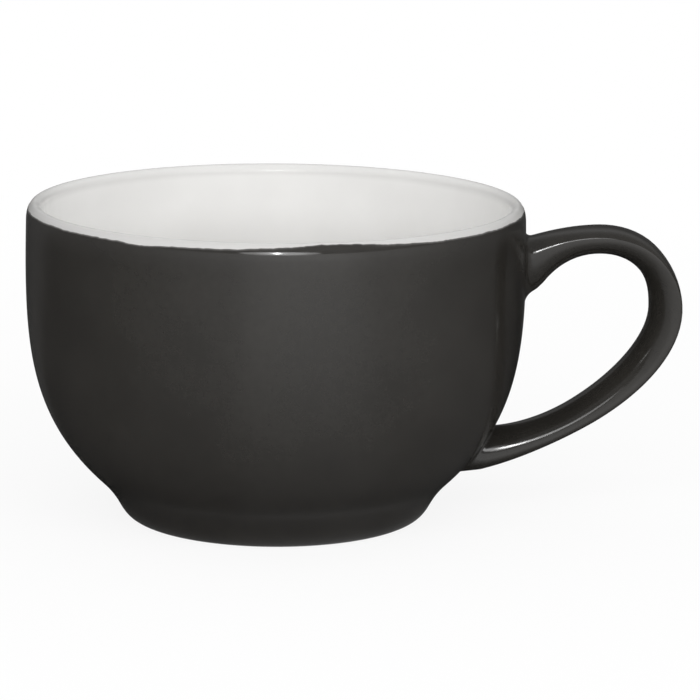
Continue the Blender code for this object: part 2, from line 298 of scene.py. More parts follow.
def wall_line(bowl, foot):
    """Glazed outside of the wall, from the lip down to the neck."""
    neck = Vector((foot.radius + foot.neck_flare, foot.neck_height))
    spring = Vector((bowl.rim_radius, bowl.height - bowl.rim_wall / 2))
    start = neck + foot.neck_round * heading(bowl.wall_lean)
    spring_lever = spring + bowl.rim_pull * heading(math.pi - bowl.rim_lean)
    start_lever = start + bowl.wall_pull * heading(bowl.wall_lean)
    return curve(spring, spring_lever, start_lever, start, WALL_POINTS)


def lip_line(bowl, foot):
    """Outer side of the lip, from its top down to where it runs into the wall."""
    wall = below_height(wall_line(bowl, foot), bowl.height - bowl.lip_depth)
    top = Vector((bowl.rim_radius - bowl.rim_wall / 2, bowl.height))
    out = Vector((wall[0].x - top.x, 0.0))
    up = (wall[0] - wall[1]).normalized() * bowl.lip_depth
    return curve(top, top + ROUND_PULL * out, wall[0] + ROUND_PULL * up, wall[0], LIP_POINTS)


def outside_line(bowl, foot):
    """Glazed outside of the cup, from the top of the lip down to the table."""
    lip = lip_line(bowl, foot)
    wall = below_height(wall_line(bowl, foot), lip[-1].y)
    corner = Vector((foot.radius, 0.0))
    neck = corner + Vector((foot.neck_flare, foot.neck_height))
    side = (neck - corner).normalized()
    neck_curve = rounded(wall[-1], neck, neck - foot.neck_round * side)
    heel_end = corner - Vector((foot.heel_in, 0.0))
    heel_curve = rounded(corner + foot.heel_up * side, corner, heel_end)
    return lip + wall[1:] + neck_curve[1:] + heel_curve


def inside_line(bowl, foot):
    """Glazed inside of the bowl, from the middle of its floor up to the lip."""
    wall = wall_line(bowl, foot)
    growth = bowl.neck_wall - bowl.rim_wall
    last = WALL_POINTS - 1
    inner = offset(wall, [bowl.rim_wall + growth * index / last for index in range(WALL_POINTS)])
    inner[0] = wall[0] - Vector((bowl.rim_wall, 0.0))
    slope = (inner[-1] - inner[-2]).normalized()
    corner = inner[-1] + slope * (inner[-1].y - bowl.floor_height) / -slope.y
    flat_end = corner - Vector((bowl.floor_round, 0.0))
    floor_curve = rounded(inner[-1], corner, flat_end)
    middle = Vector((0.0, bowl.floor_height))
    floor = [flat_end.lerp(middle, step / FLAT_POINTS) for step in range(1, FLAT_POINTS + 1)]
    return (inner + floor_curve[1:] + floor)[::-1]


def recess_line(foot):
    """Glazed recess under the foot, from its middle out and down to the table."""
    reach = foot.radius - foot.heel_in - foot.ring_width
    corner = Vector((reach, foot.recess_depth))
    before = corner - Vector((foot.recess_round, 0.0))
    after = corner - Vector((0.0, foot.recess_round))
    middle = Vector((0.0, foot.recess_depth))
    flat = [middle.lerp(before, step / FLAT_POINTS) for step in range(FLAT_POINTS)]
    return flat + rounded(before, corner, after) + [Vector((reach, 0.0))]


def skin_line(bowl, foot):
    """Glazed skin of the cup, from the middle of its floor up, over the lip and down to the table."""
    radius = bowl.rim_wall / 2
    middle = Vector((bowl.rim_radius - radius, bowl.height - radius))
    turns = [math.pi / 2 * (index / LIP_POINTS - 1) for index in range(1, LIP_POINTS)]
    return inside_line(bowl, foot) + [middle + radius * heading(turn) for turn in turns] \
        + outside_line(bowl, foot)


def skin_down_to(bowl, foot, height):
    """The glazed skin, ended at a height on its outside."""
    skin = skin_line(bowl, foot)
    top = skin.index(max(skin, key=lambda point: point.y))
    return skin[:top] + above_height(skin[top:], height)


def buried(line, depth):
    """Line that starts on the axis, moved to its right by one depth and still started there."""
    moved = offset(line, [depth] * len(line))
    moved[0] = line[0] - Vector((0.0, depth))
    return moved


def back_along(line):
    """A hidden line's way back, on every second of its points and ended at its first."""
    return line[:0:-2] + [line[0]]


def liner_outline(bowl, foot, glaze):
    """Closed outline of the pale coat: floor, inside and lip, then back along the clay."""
    skin = skin_down_to(bowl, foot, bowl.height - glaze.liner_drop)
    return skin + back_along(buried(skin, glaze.thickness))


def spaced(line):
    """Distances of a line's points from its start."""
    lengths = [0.0]
    for start, end in zip(line, line[1:]):
        lengths.append(lengths[-1] + (end - start).length)
    return lengths


def along(line, distance):
    """Point at a distance along a line."""
    lengths = spaced(line)
    for index in range(1, len(line)):
        if distance <= lengths[index]:
            share = (distance - lengths[index - 1]) / (lengths[index] - lengths[index - 1])
            return line[index - 1].lerp(line[index], share)
    return line[-1].copy()


def coat_outline(bowl, foot, glaze):
    """Closed outline of the charcoal coat: bead on the lip, wall and heel, then back underneath."""
    outside = above_height(outside_line(bowl, foot), glaze.dry_foot)
    run = below_height(outside, bowl.height - glaze.line_drop)
    nose = BEAD_ROUND * glaze.bead
    steps = [index / (BEAD_POINTS - 1) for index in range(BEAD_POINTS)]
    nose_steps = [nose * (1 - math.cos(step * math.pi / 2)) for step in steps]
    rest = [point for point, length in zip(run, spaced(run)) if length > NOSE_ROOM * nose]
    line = [along(run, step) for step in nose_steps] + rest
    proud = [(glaze.bead + SUNK) * math.sin(step * math.pi / 2) - SUNK for step in steps]
    for length in spaced(line)[BEAD_POINTS:]:
        proud.append(glaze.bead * (1 - eased((length - nose) / glaze.bead_fade)))
    exposed = offset(line, [-value for value in proud])
    liner_end = bowl.height - glaze.liner_drop
    tucked = below_height(outside, liner_end - 2 * SUNK)
    under = offset(tucked, [glaze.thickness] * len(tucked))
    lapped = above_height(run, liner_end - 2 * SUNK)[1:]
    seat = offset(lapped, [SUNK] * len(lapped))
    return exposed + back_along(under) + seat[::-1]


def clay_outline(bowl, foot, glaze):
    """Outline of the clay bowl, from its floor over the lip and the foot ring to the recess."""
    depth = glaze.thickness + glaze.clearance
    dry = glaze.dry_foot - SUNK
    outside = outside_line(bowl, foot)
    covered = buried(skin_down_to(bowl, foot, 2 * glaze.dry_foot), depth)
    bare = [point for point in outside if point.y < dry]
    recess = above_height(recess_line(foot), glaze.dry_foot)
    edge = recess[-1].x + SUNK
    ring_round = rounded(Vector((edge + RING_ROUND * foot.heel_in, 0.0)), Vector((edge, 0.0)),
                         Vector((edge, dry)))
    return covered + [at_height(outside, dry)] + bare + ring_round + buried(recess, -depth)[::-1]


def recess_outline(foot, glaze):
    """Closed outline of the coat in the recess."""
    recess = above_height(recess_line(foot), glaze.dry_foot)
    return buried(recess, -glaze.thickness) + recess[::-1]


# Modelling

# Size of the plane that is merged to an outline's first point
SEED_SIZE = 0.01


def start_piece(name):
    """The object that a primitive has just added, named, with its edit mode open."""
    piece = bpy.context.object
    piece.name = name
    piece.data.name = name
    bpy.ops.object.mode_set(mode="EDIT")
    return piece


def close_piece(piece):
    """Leave edit mode with the piece's place in its mesh and its faces smooth."""
    bpy.ops.object.mode_set(mode="OBJECT")
    bpy.ops.object.select_all(action="DESELECT")
    piece.select_set(True)
    bpy.context.view_layer.objects.active = piece
    bpy.ops.object.transform_apply(location=True, rotation=True, scale=True)
    bpy.ops.object.shade_smooth()
    return piece


def turn_outline(name, outline, turns):
    """Spin an outline round the bowl's axis into a piece whose faces point out."""
    places = [Vector((AXIS_X + point.x, 0.0, point.y)) for point in outline]
    bpy.ops.object.select_all(action="DESELECT")
    bpy.ops.mesh.primitive_plane_add(size=SEED_SIZE, location=places[0])
    piece = start_piece(name)
    bpy.ops.mesh.merge(type="CENTER")
    for start, end in zip(places, places[1:]):
        bpy.ops.mesh.extrude_vertices_move(TRANSFORM_OT_translate={"value": end - start})
    bpy.ops.mesh.select_all(action="SELECT")
    bpy.ops.mesh.spin(steps=turns, angle=math.tau, center=AXIS_FOOT, axis=(0.0, 0.0, 1.0))
    bpy.ops.mesh.select_all(action="SELECT")
    bpy.ops.mesh.remove_doubles(threshold=MERGE)
    bpy.ops.mesh.normals_make_consistent(inside=False)
    return close_piece(piece)


def ride_root(piece, material, slot, *nodes):
    """Give a finished piece its material and its place in the frame."""
    piece.data.materials.append(material)
    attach(piece, "root")
    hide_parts(*nodes)


# Where the charcoal edge climbs and dips: azimuth in degrees from the handle, half width, share
LINE_RISES = ((-77.0, 15.0, 1.0), (38.0, 20.0, 0.4), (150.0, 12.0, 0.3))
LINE_DIPS = ((-121.0, 6.0, 1.0), (95.0, 9.0, 0.7), (10.0, 7.0, 0.5))
# Its small unevenness: bumps to a radius, and their share
RAGGED_SCALES = ((9.0, 0.5), (24.0, 0.5), (60.0, 0.4))


def swell(azimuth, swells):
    """Sum of soft swells round the rim at an azimuth."""
    total = 0.0
    for middle, half_width, share in swells:
        away = (math.degrees(azimuth) - middle + 180.0) % 360.0 - 180.0
        total += share * math.exp(-(away / half_width) ** 2)
    return total


def line_drop(azimuth, glaze):
    """Drop of the charcoal edge below the top of the lip at an azimuth."""
    drop = glaze.line_drop
    drop -= glaze.line_rise * swell(azimuth, LINE_RISES)
    drop += glaze.line_dip * swell(azimuth, LINE_DIPS)
    for scale, share in RAGGED_SCALES:
        place = Vector((math.cos(azimuth), math.sin(azimuth), 0.0)) * scale
        drop += glaze.line_ragged * share * noise.noise(place)
    return drop


def wander_edge(piece, bowl, foot, glaze):
    """Slide the coat's upper edge up and down the lip, and note how near to it each point lies."""
    lip = lip_line(bowl, foot)
    low = bowl.height - glaze.liner_drop
    usual = bowl.height - glaze.line_drop
    thin = piece.data.attributes.new("thin_edge", "FLOAT", "POINT")
    for vert in piece.data.vertices:
        if vert.co.z <= low:
            continue
        reach = Vector((vert.co.x - AXIS_X, vert.co.y))
        edge = bowl.height - line_drop(math.atan2(reach.y, reach.x), glaze)
        height = low + (vert.co.z - low) * (edge - low) / (usual - low)
        growth = at_height(lip, height).x - at_height(lip, min(vert.co.z, bowl.height)).x
        wider = reach * (1 + growth / reach.length)
        vert.co = (AXIS_X + wider.x, wider.y, height)
        away = (at_height(lip, edge) - Vector((wider.length, height))).length
        thin.data[vert.index].value = 1 - eased(away / glaze.edge_fade)


# Handle

# Points along the route's three curves, sides of a section, and steps from section to section
RISE_POINTS = 60
BEND_POINTS = 60
FALL_POINTS = 90
RING_SIDES = 96
STATION_STEP = 0.0013
FIRST_STEP = 0.0021
# How far a rail is followed past a root, in how many halvings its end is found, and how far from the
# root the sections lean into the wall
EMBED = 0.0120
TRIM_HALVINGS = 50
LEAN_REACH = 0.0170
# Size of the coat's skirt on the wall against its last section, and facets of the fillet between
SKIRT = 1.45
FILLET_STEPS = 8


def knotted(position, knots):
    """Value at a position along the handle, eased between (position, value) knots."""
    for (start, first), (end, last) in zip(knots, knots[1:]):
        if position <= end:
            return first + (last - first) * eased((position - start) / (end - start))
    return knots[-1][1]


def flare(distance, amount, reach):
    """Growth of the section towards a root, at a distance from it along the handle."""
    return amount * max(0.0, 1 - max(0.0, distance) / reach) ** 2


class HandleRails:
    """Two rails in the handle's plane, outer and inner, that its sections stand on."""

    def __init__(self, bowl, foot, handle, inset=0.0):
        self.handle = handle
        self.inset = inset
        self.wall = [Vector((AXIS_X + point.x, point.y)) for point in outside_line(bowl, foot)]
        belly = max(point.x for point in self.wall)
        upper = at_height(self.wall, bowl.height - handle.upper_drop)
        lower = at_height(self.wall, handle.lower_height)
        crest_height = bowl.height - handle.crest_drop - handle.crest_thickness / 2
        crest = Vector((belly + handle.crest_out, crest_height))
        side = Vector((handle.reach - handle.side_thickness / 2, bowl.height - handle.side_drop))
        out = Vector((1.0, 0.0))
        up = Vector((0.0, 1.0))
        upper_lever = upper + handle.upper_pull * heading(math.pi / 2 - handle.upper_rise)
        lower_lever = lower + handle.lower_pull * heading(math.pi / 2 - handle.lower_rise)
        rise = curve(upper, upper_lever, crest - handle.crest_pull_in * out, crest, RISE_POINTS)
        bend = curve(crest, crest + handle.crest_pull_out * out, side + handle.side_pull_up * up, side,
                     BEND_POINTS)
        fall = curve(side, side - handle.side_pull_down * up, lower_lever, lower, FALL_POINTS)
        self.line = rise + bend[1:] + fall[1:]
        self.lengths = spaced(self.line)
        self.length = self.lengths[-1]
        crest_at = self.lengths[RISE_POINTS - 1]
        bend_at = self.lengths[RISE_POINTS + BEND_POINTS // 2 - 1]
        side_at = self.lengths[RISE_POINTS + BEND_POINTS - 2]
        self.knots = ((0.0, handle.crest_thickness), (crest_at, handle.crest_thickness),
                      (bend_at, handle.bend_thickness), (side_at, handle.side_thickness),
                      (self.length, handle.lower_thickness))
        self.ridges = ((0.0, handle.upper_ridge), (crest_at, handle.crest_ridge),
                       (side_at, handle.side_ridge), (self.length, handle.lower_ridge))
        self.widths = ((0.0, handle.root_width), (bend_at, handle.bend_width),
                       (self.length, handle.root_width))
        self.squares = ((crest_at, handle.upper_square), (side_at, handle.side_square))
        self.upper_trims = [self.trim(sign, 0.0, -1) for sign in (1, -1)]
        self.lower_trims = [self.trim(sign, self.length, 1) - self.length for sign in (1, -1)]

    def route(self, position):
        """Point and direction of the middle line, run on straight past both ends."""
        inside = min(max(position, 0.0), self.length)
        index = 1
        while index < len(self.lengths) - 1 and self.lengths[index] < inside:
            index += 1
        start, end = self.line[index - 1], self.line[index]
        way = (end - start).normalized()
        before = self.line[max(index - 2, 0)]
        after = self.line[min(index + 1, len(self.line) - 1)]
        share = (inside - self.lengths[index - 1]) / (self.lengths[index] - self.lengths[index - 1])
        first = (end - before).normalized()
        last = (after - start).normalized()
        bent = first.lerp(last, share).normalized()
        point = start.lerp(end, share) + way * (position - inside)
        return point, bent

    def thickness(self, position):
        """Thickness of the section."""
        handle = self.handle
        value = knotted(position, self.knots) - 2 * self.inset
        value += flare(position, handle.upper_flare, handle.upper_flare_reach)
        return value + flare(self.length - position, handle.lower_flare, handle.lower_flare_reach)

    def width(self, position):
        """Width of the section."""
        return knotted(position, self.widths) - 2 * self.inset

    def rail(self, sign, position):
        """Point of the outer rail, sign 1, or the inner one, sign -1."""
        point, way = self.route(position)
        return point + left_of(way) * sign * self.thickness(position) / 2

    def trim(self, sign, start, way):
        """Position at which a rail meets the wall, looked for round one root."""
        low = start + way * EMBED
        high = start - way * EMBED
        for _ in range(TRIM_HALVINGS):
            middle = (low + high) / 2
            point = self.rail(sign, middle)
            wall = at_height(self.wall, point.y)
            if point.x < wall.x:
                low = middle
            else:
                high = middle
        return (low + high) / 2

    def section(self, position):
        """Outer and inner rail points of one section; near a root it leans into the wall's plane."""
        ends = []
        for index, sign in enumerate((1, -1)):
            upper_lean = max(0.0, 1 - position / LEAN_REACH) ** 2
            lower_lean = max(0.0, 1 - (self.length - position) / LEAN_REACH) ** 2
            shift = self.upper_trims[index] * upper_lean + self.lower_trims[index] * lower_lean
            ends.append(self.rail(sign, position + shift))
        return ends

    def stations(self):
        """Positions of the sections along the route, root to root."""
        inner = self.length - 2 * FIRST_STEP
        count = round(inner / STATION_STEP)
        between = [FIRST_STEP + inner * index / count for index in range(count + 1)]
        return [0.0] + between + [self.length]


class Ring:
    """A section's ring while it is drawn along: where it is, how it is turned and its half sizes."""

    def __init__(self, outer, inner, width):
        self.middle = Vector(((outer.x + inner.x) / 2, 0.0, (outer.y + inner.y) / 2))
        across = (outer - inner) / 2
        self.turn = math.atan2(across.y, across.x)
        self.half_thickness = across.length
        self.half_width = width / 2


def move_ring(old, new):
    """Move the selected ring from one section's place, turn and size to another's."""
    grow = (new.half_thickness / old.half_thickness, new.half_width / old.half_width, 1.0)
    bpy.ops.transform.rotate(value=-old.turn, orient_axis="Y", center_override=old.middle)
    bpy.ops.transform.resize(value=grow, center_override=old.middle)
    bpy.ops.transform.rotate(value=new.turn, orient_axis="Y", center_override=old.middle)
    bpy.ops.transform.translate(value=new.middle - old.middle)


def select_verts(piece, wanted):
    """Select the vertices that a test picks, from edit mode."""
    bpy.ops.mesh.select_all(action="DESELECT")
    bpy.ops.object.mode_set(mode="OBJECT")
    for vert in piece.data.vertices:
        vert.select = wanted(vert)
    bpy.ops.object.mode_set(mode="EDIT")
    bpy.ops.mesh.select_mode(type="VERT")


def apply_modifier(piece, kind, **settings):
    """Add a modifier with its settings and apply it."""
    modifier = piece.modifiers.new(kind.title(), kind)
    for name, value in settings.items():
        setattr(modifier, name, value)
    bpy.context.view_layer.objects.active = piece
    bpy.ops.object.modifier_apply(modifier=modifier.name)


def draw_handle(name, rails):
    """Draw a ring along the rails from root to root, as an open sleeve, then square and skew it."""
    bpy.ops.object.select_all(action="DESELECT")
    bpy.ops.mesh.primitive_circle_add(vertices=RING_SIDES, radius=1.0, location=(0.0, 0.0, 0.0))
    piece = start_piece(name)
    sides = [vert.co.to_2d() for vert in piece.data.vertices]
    ring = Ring(Vector((1.0, 0.0)), Vector((-1.0, 0.0)), 2.0)
    for index, position in enumerate(rails.stations()):
        if index:
            bpy.ops.mesh.extrude_region_move()
        outer, inner = rails.section(position)
        target = Ring(outer, inner, rails.width(position))
        move_ring(ring, target)
        ring = target
    bpy.ops.object.mode_set(mode="OBJECT")
    for index, position in enumerate(rails.stations()):
        outer, inner = rails.section(position)
        across = (outer - inner) / 2
        ridge = knotted(position, rails.ridges)
        power = 2 / knotted(position, rails.squares)
        for side, place in enumerate(sides):
            bent = power if place.x > 0 else 1.0
            squared = Vector([math.copysign(abs(value) ** bent, value) for value in place])
            slide = across * (squared.x - place.x + ridge * (1 - abs(squared.x)))
            widen = (squared.y - place.y) * rails.width(position) / 2
            piece.data.vertices[index * RING_SIDES + side].co += Vector((slide.x, widen, slide.y))
    bpy.ops.object.mode_set(mode="EDIT")
    return piece


def clay_handle(rails):
    """Clay of the handle, closed at both roots."""
    piece = draw_handle("clay_handle", rails)
    bpy.ops.mesh.select_all(action="SELECT")
    bpy.ops.mesh.fill_holes(sides=RING_SIDES)
    bpy.ops.mesh.normals_make_consistent(inside=False)
    return close_piece(piece)


def handle_coat(rails, wall, glaze):
    """Sleeve of glaze over the handle, seated on the wall at both roots with a small fillet."""
    piece = draw_handle("handle_coat", rails)
    count = len(rails.stations())
    skirts = []
    for ring in (0, count - 1):
        first = ring * RING_SIDES
        select_verts(piece, lambda vert: first <= vert.index < first + RING_SIDES)
        bpy.ops.mesh.extrude_region_move()
        outer, inner = rails.section(rails.stations()[ring])
        bpy.ops.transform.resize(value=(SKIRT, SKIRT, SKIRT),
                                 center_override=Ring(outer, inner, 1.0).middle)
        skirts.append(first)
    bpy.ops.object.mode_set(mode="OBJECT")
    seat = piece.vertex_groups.new(name="seat")
    rings_made = count * RING_SIDES
    seated = [index for first in skirts for index in range(first, first + RING_SIDES)]
    seated += range(rings_made, rings_made + 2 * RING_SIDES)
    seat.add(seated, 1.0, "REPLACE")
    apply_modifier(piece, "SHRINKWRAP", target=wall, wrap_method="PROJECT", use_project_x=True,
                   use_positive_direction=True, use_negative_direction=True, vertex_group="seat",
                   offset=-SUNK)
    corners = [piece.vertex_groups.new(name=name) for name in ("upper_corner", "lower_corner")]
    for corner, first in zip(corners, skirts):
        corner.add(range(first, first + RING_SIDES), 1.0, "REPLACE")
    bpy.ops.object.mode_set(mode="EDIT")
    for corner, reach in zip(corners, (rails.handle.upper_fillet, rails.handle.lower_fillet)):
        bpy.ops.mesh.select_all(action="DESELECT")
        bpy.ops.object.vertex_group_set_active(group=corner.name)
        bpy.ops.object.vertex_group_select()
        bpy.ops.mesh.bevel(offset=reach, segments=FILLET_STEPS, profile=0.5, clamp_overlap=False)
    bpy.ops.mesh.select_all(action="SELECT")
    bpy.ops.mesh.normals_make_consistent(inside=False)
    bpy.ops.object.mode_set(mode="OBJECT")
    piece.vertex_groups.clear()
    apply_modifier(piece, "SOLIDIFY", thickness=glaze.thickness, offset=-1.0)
    bpy.ops.object.mode_set(mode="EDIT")
    return close_piece(piece)


# Finishes

class Wire:
    """One output of a node. Sums of wires and numbers add their Math nodes."""

    def __init__(self, tree, socket=None):
        self.tree = tree
        self.socket = socket

    def node(self, kind, settings=None, inputs=None, output=0):
        """Wire from any other node: its settings are set first, then its sockets."""
        made = self.tree.nodes.new(kind)
        for name, value in (settings or {}).items():
            setattr(made, name, value)
        for name, value in (inputs or {}).items():
            if isinstance(value, Wire):
                self.tree.links.new(value.socket, made.inputs[name])
            else:
                made.inputs[name].default_value = value
        return Wire(self.tree, made.outputs[output])

    def maths(self, operation, *values):
        """Wire from a Math node."""
        return self.node("ShaderNodeMath", {"operation": operation}, dict(enumerate(values)))

    def __add__(self, other):
        return self.maths("ADD", self, other)

    def __radd__(self, other):
        return self.maths("ADD", other, self)

    def __sub__(self, other):
        return self.maths("SUBTRACT", self, other)

    def __rsub__(self, other):
        return self.maths("SUBTRACT", other, self)

    def __mul__(self, other):
        return self.maths("MULTIPLY", self, other)

    def __rmul__(self, other):
        return self.maths("MULTIPLY", other, self)

    def vector(self, operation, *values, output="Vector"):
        """Wire from a Vector Math node."""
        values = dict(enumerate(values))
        return self.node("ShaderNodeVectorMath", {"operation": operation}, values, output)

    def height(self, place):
        """Height of a place, or how far a direction points up."""
        return self.node("ShaderNodeSeparateXYZ", None, {"Vector": place}, "Z")

    def levelled(self, place):
        """A place or direction with its height taken out."""
        return self.vector("MULTIPLY", place, (1.0, 1.0, 0.0))

    def noise(self, place, scale, detail=2.0, roughness=0.5):
        """Soft noise from 0 to 1, with a number of lumps to the metre."""
        values = {"Vector": place, "Scale": scale, "Detail": detail, "Roughness": roughness}
        return self.node("ShaderNodeTexNoise", None, values, "Fac")

    def ramp(self, value, start, end, low=0.0, high=1.0):
        """Soft step of a value from low to high between a start and an end."""
        values = {"Value": value, "From Min": start, "From Max": end, "To Min": low, "To Max": high}
        return self.node("ShaderNodeMapRange", {"interpolation_type": "SMOOTHSTEP"}, values)

    def patch(self, value, start, full, level):
        """Soft step of a value from 0 at a start to a level where it is full."""
        return self.ramp(value, start, full, 0.0, level)

    def bump(self, relief, depth):
        """Normal of a surface whose relief from 0 to 1 is as deep as given."""
        values = {"Strength": 1.0, "Distance": depth, "Height": relief}
        return self.node("ShaderNodeBump", None, values)

    def blend(self, share, first, last):
        """Colour between two colours."""
        values = {0: share, 6: first, 7: last}
        return self.node("ShaderNodeMix", {"data_type": "RGBA"}, values, 2)


def shade(colour):
    """Colour with an opaque alpha."""
    return (*colour, 1.0)


# A noise is given by its lumps to the metre, its detail and its roughness, and a spread by the values
# of a noise that become 0 and 1
FIRED_IOR = 1.55
GLOSS_LUMPS = 240.0
GLOSS_SPREAD = (0.3, 0.7)
RIPPLE_DETAIL = 1.0
RIPPLE_DEPTH = 0.00002


def new_finish(name):
    """Material with one shader: the shader, its wire, and the piece's own coordinates."""
    material = bpy.data.materials.new(name)
    material.use_nodes = True
    shader = material.node_tree.nodes["Principled BSDF"]
    shader.inputs["IOR"].default_value = FIRED_IOR
    wire = Wire(material.node_tree)
    return material, shader, wire, wire.node("ShaderNodeTexCoord", output="Object")


def lead(wire, node, name):
    """Join a wire to one of a node's sockets."""
    wire.tree.links.new(wire.socket, node.inputs[name])


def uneven_gloss(shader, place, roughness, ripple, fine, fine_share):
    """Gloss of a glaze: patches of unlike roughness over a slow ripple, with a finer one on it."""
    patches = place.ramp(place.noise(place, GLOSS_LUMPS), *GLOSS_SPREAD, *roughness)
    lead(patches, shader, "Roughness")
    relief = place.noise(place, ripple, RIPPLE_DETAIL)
    relief = relief + place.noise(place, fine, RIPPLE_DETAIL) * fine_share
    lead(place.bump(relief, RIPPLE_DEPTH), shader, "Normal")


CHARCOAL_CLOUDS = (60.0, 3.0)
CHARCOAL_MOTTLE = (700.0, 3.0, 0.6)
CHARCOAL_SPREAD = (0.3, 0.75)
# Range of its roughness, then its ripple: lumps of the slow one, lumps of the fine one and its share
CHARCOAL_ROUGHNESS = (0.07, 0.12)
CHARCOAL_RIPPLE = (260.0, 1200.0, 0.05)
# Share of the clouds against the mottling
CLOUD_SHARE = 0.65
# Heights between which the charcoal glaze runs thin towards the lip, and how much it does
RIM_PATCH = (0.058, 0.064, 0.3)
# Least strength of its greyer upper edge, which the mottling raises to 1
EDGE_SHARE = 0.6


def charcoal_glaze(colours):
    """Satin-bright charcoal glaze, with soft clouds, fine mottling and a thin, greyer upper edge."""
    material, shader, wire, place = new_finish("charcoal_glaze")
    clouds = wire.noise(place, *CHARCOAL_CLOUDS)
    mottle = wire.noise(place, *CHARCOAL_MOTTLE)
    thin = wire.ramp(clouds * CLOUD_SHARE + mottle * (1 - CLOUD_SHARE), *CHARCOAL_SPREAD)
    colour = wire.blend(thin, shade(colours.charcoal), shade(colours.charcoal_thin))
    rim = wire.patch(wire.height(place), *RIM_PATCH)
    colour = wire.blend(rim, colour, shade(colours.charcoal_rim))
    edge = wire.node("ShaderNodeAttribute", {"attribute_name": "thin_edge"}, None, "Fac")
    edge = edge * (EDGE_SHARE + mottle * (1 - EDGE_SHARE))
    lead(wire.blend(edge, colour, shade(colours.charcoal_edge)), shader, "Base Color")
    uneven_gloss(shader, place, CHARCOAL_ROUGHNESS, *CHARCOAL_RIPPLE)
    return material


PALE_CLOUDS = (45.0, 3.0)
PALE_SPREAD = (0.3, 0.7)
PALE_CLOUD_SHARE = 0.2
PALE_ROUGHNESS = (0.18, 0.26)
PALE_RIPPLE = (220.0, 1400.0, 0.12)
# Heights between which painted shade darkens the liner down the inside wall, and how much it does
LINER_SHADE_PATCH = (0.0575, 0.0445, 0.8)
# Heights between which it greys towards the top of the lip, as thin glaze and as painted shade, and how
# much it does
LIP_PATCH = (0.0622, 0.0642, 0.45)
# Distances in from the lip's outside over which it greys further, as thin glaze and as painted shade,
# and how much it does
LIP_CREST = 0.0018
LIP_OUT = 0.0010
LIP_OUT_SHARE = 0.55


def pale_glaze(colours, bowl):
    """Glossy off-white liner glaze with random clouds, darker down the inside wall by painted shade, and
    greyer on the lip by thin glaze and painted shade.
    """
    material, shader, wire, place = new_finish("pale_glaze")
    height = wire.height(place)
    clouds = wire.patch(wire.noise(place, *PALE_CLOUDS), *PALE_SPREAD, PALE_CLOUD_SHARE)
    # Random clouds, plus painted shade that darkens the liner down the inside wall
    clouds_and_shade = clouds + wire.patch(height, *LINER_SHADE_PATCH)
    colour = wire.blend(clouds_and_shade, shade(colours.pale), shade(colours.pale_clouds_and_shade))
    reach = wire.vector("DISTANCE", wire.levelled(place), AXIS_FOOT, output="Value")
    outside = bowl.rim_radius
    # The lip greys: thin glaze, and painted shade
    thin = wire.patch(height, *LIP_PATCH) \
        + wire.patch(reach, outside - LIP_CREST, outside - LIP_OUT, LIP_OUT_SHARE)
    lead(wire.blend(thin, colour, shade(colours.pale_lip_thin_and_shade)), shader, "Base Color")
    uneven_gloss(shader, place, PALE_ROUGHNESS, *PALE_RIPPLE)
    return material


SAND = (2600.0, 3.0, 0.7)
SAND_SPREAD = (0.25, 0.75)
SAND_SHARE = 0.35
SAND_DEPTH = 0.00006
SAND_GLOSS_SPREAD = (0.2, 0.8)
CLAY_ROUGHNESS = (0.75, 0.95)
# Dark grains: their number to the metre, their edge as a share of their cell, and where they gather
FLECK_LUMPS = 900.0
FLECK_EDGE = (0.26, 0.14)
GATHER_LUMPS = 130.0
GATHER_SPREAD = (0.35, 0.6)
SLIP_LIGHTNESS = 0.85


def bare_clay(name, colours, lightness):
    """Fired clay left bare, sandy to the touch, with dark flecks."""
    material, shader, wire, place = new_finish(name)
    sand = wire.noise(place, *SAND)
    cells = {"Vector": place, "Scale": FLECK_LUMPS}
    fleck = wire.node("ShaderNodeTexVoronoi", None, cells, "Distance")
    gather = wire.ramp(wire.noise(place, GATHER_LUMPS), *GATHER_SPREAD)
    grains = wire.ramp(fleck, *FLECK_EDGE) * gather
    tone = wire.patch(sand, *SAND_SPREAD, SAND_SHARE)
    light = shade(value * lightness for value in colours.clay)
    dark = shade(value * lightness for value in colours.clay_fleck)
    lead(wire.blend(wire.maths("MAXIMUM", grains, tone), light, dark), shader, "Base Color")
    lead(wire.ramp(sand, *SAND_GLOSS_SPREAD, *CLAY_ROUGHNESS), shader, "Roughness")
    lead(wire.bump(sand, SAND_DEPTH), shader, "Normal")
    return material


# Stage

FLOOR_RADIUS = 4.0
FLOOR_SIDES = 64
# The cup's shadow: the share of it that the camera sees, and where that fades out
SHADOW_DEPTH = 0.12
SHADOW_START = 0.10
SHADOW_END = 0.40
# The floor in the gloss: its level next to the foot, kept low there as a painted shadow of the cup, its
# growth outwards and the way to half of that
NEAR_REACH = 0.038
NEAR_LIT = 0.11
FAR_LIT = 1.02
HALF_LIT_REACH = 0.088
# Its level all round, strongest in front, and how fast that falls off to the back
FRONT_TURN = math.radians(12.0)
FRONT_LEVEL = 0.72
FRONT_POWER = 2.2
# Patches of light in the gloss: where each starts, where it is full, and its level there
FRONT_PATCH = (0.82, 1.03, 0.30)
REAR_PATCH = (-0.60, -0.80, 0.05)
REAR_CORE = (-0.96, -1.0, 0.035)
CARD_PATCH = (0.75, 0.97, 0.05)
CARD_WAY = (-0.94, 0.34, 0.0)
HEEL_PATCH = (0.0355, 0.0310, 0.22)
SKY_PATCH = (0.0, 0.6, 0.29)
# Heights between which the floor's light in the gloss ends above the horizon
COVE_LOW = 0.25
COVE_HIGH = 0.34
WORLD_LEVEL = 0.73


